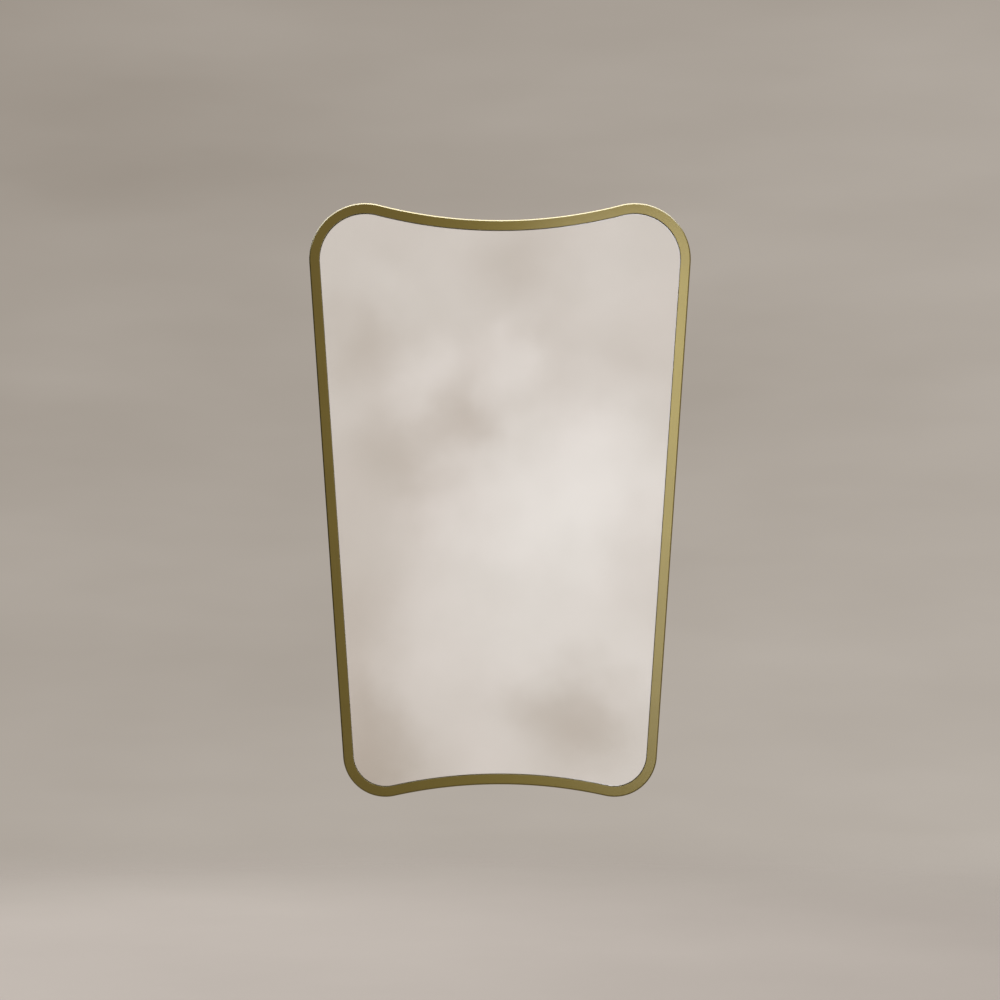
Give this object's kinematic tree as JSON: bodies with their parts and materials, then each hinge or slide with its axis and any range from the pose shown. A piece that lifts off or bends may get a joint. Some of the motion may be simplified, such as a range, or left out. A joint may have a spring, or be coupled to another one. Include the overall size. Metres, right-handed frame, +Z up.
{
  "type": "wall mirror",
  "caption": "Wall mirror with a tapered outline, round corners and a dipped head and foot, in a thin satin brass frame, hung on an interlocking hook rail.",
  "frame": {"origin": "on the wall plane, midway between the two screw holes of the wall rail", "axes": "+Z up, +Y into the wall, so the glass faces -Y, +X to the right as seen from the room"},
  "size_m": [0.45, 0.0218, 0.6999],
  "materials": {
    "satin_brass": "satin, fine brushed grain, clear lacquer",
    "tab_brass": "mill finish, rolled strip",
    "silvered_glass": "polished silvered float glass",
    "foam_tape": "closed-cell foam tape",
    "safety_film": "vinyl film on the silvered back",
    "fibreboard": "bare medium-density fibreboard",
    "rail_aluminium": "extruded, natural anodised",
    "zinc_steel": "zinc plated",
    "edge_rubber": "moulded neoprene",
    "bumper_rubber": "moulded, matt"
  },
  "bodies": {
    "wall_rail": {"wall_rail": "rail_aluminium"},
    "mirror": {"frame": "satin_brass", "mirror_glass": "silvered_glass", "glazing_tape": "foam_tape", "backing_film": "safety_film", "backing_board": "fibreboard", "mirror_rail": "rail_aluminium", "tab_screws": "zinc_steel", "rail_screws": "zinc_steel", "retaining_tab_head_left": "tab_brass", "retaining_tab_head_right": "tab_brass", "retaining_tab_foot_left": "tab_brass", "retaining_tab_foot_right": "tab_brass", "retaining_tab_left_upper": "tab_brass", "retaining_tab_left_lower": "tab_brass", "retaining_tab_right_upper": "tab_brass", "retaining_tab_right_lower": "tab_brass", "edge_spacer_head_left": "edge_rubber", "edge_spacer_head_right": "edge_rubber", "edge_spacer_left_upper": "edge_rubber", "edge_spacer_left_lower": "edge_rubber", "edge_spacer_right_upper": "edge_rubber", "edge_spacer_right_lower": "edge_rubber", "setting_block_left": "edge_rubber", "setting_block_right": "edge_rubber", "bond_tape_1": "foam_tape", "bond_tape_2": "foam_tape", "bond_tape_3": "foam_tape", "bond_tape_4": "foam_tape", "bumper_left": "bumper_rubber", "bumper_right": "bumper_rubber"}
  },
  "joints": [
    {"name": "lift_off", "type": "slide", "parent": "wall_rail", "child": "mirror", "axis": [0, 0, 1], "range_m": [0, 0.014]}
  ]
}
